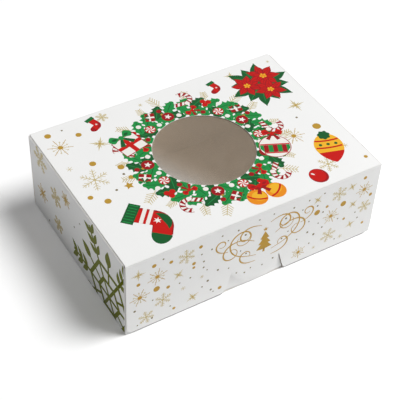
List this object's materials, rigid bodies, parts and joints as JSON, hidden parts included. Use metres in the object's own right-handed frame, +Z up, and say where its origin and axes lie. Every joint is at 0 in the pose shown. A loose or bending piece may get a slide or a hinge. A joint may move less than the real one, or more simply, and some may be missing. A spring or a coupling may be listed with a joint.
{
  "type": "cookie box",
  "caption": "Closed creased paperboard cookie box: hinged lid with a round film window, tucked dust flaps and an outside front flap with a push-in locking tongue.",
  "frame": {"origin": "centre of the underside of the closed box, on the surface it stands on", "axes": "+X along the front from left to right, the longest side; +Y from the front flap to the back wall; +Z up, the shortest side"},
  "size_m": [0.21, 0.15, 0.07],
  "materials": {
    "outer_board": "white, clay coated, satin",
    "inner_board": "uncoated, matt, warm grey",
    "clear_film": "clear, glossy"
  },
  "bodies": {
    "tray": {"base_panel": "inner_board", "front_wall": "outer_board", "back_wall": "outer_board", "left_wall": "outer_board", "right_wall": "outer_board", "glue_tab_front_left": "inner_board", "glue_tab_front_right": "inner_board", "glue_tab_back_left": "inner_board", "glue_tab_back_right": "inner_board"},
    "lid": {"lid_panel": "outer_board", "window_film": "clear_film"},
    "front_flap": {"front_flap": "outer_board"},
    "locking_tongue": {"locking_tongue": "outer_board"},
    "left_dust_flap": {"left_dust_flap": "inner_board"},
    "right_dust_flap": {"right_dust_flap": "inner_board"}
  },
  "joints": [
    {"name": "lid_hinge", "type": "hinge", "parent": "tray", "child": "lid", "pos_m": [0, 0.0745, 0.0695], "axis": [-1, 0, 0], "range_deg": [0, 180]},
    {"name": "front_flap_hinge", "type": "hinge", "parent": "lid", "child": "front_flap", "pos_m": [0, -0.0745, 0.0695], "axis": [-1, 0, 0], "range_deg": [0, 90]},
    {"name": "tongue_hinge", "type": "hinge", "parent": "front_flap", "child": "locking_tongue", "pos_m": [0, -0.07475, 0.01945], "axis": [1, 0, 0], "range_deg": [-14, 8]},
    {"name": "left_dust_flap_hinge", "type": "hinge", "parent": "lid", "child": "left_dust_flap", "pos_m": [-0.1037, 0, 0.0695], "axis": [0, -1, 0], "range_deg": [0, 80]},
    {"name": "right_dust_flap_hinge", "type": "hinge", "parent": "lid", "child": "right_dust_flap", "pos_m": [0.1037, 0, 0.0695], "axis": [0, 1, 0], "range_deg": [0, 80]}
  ]
}
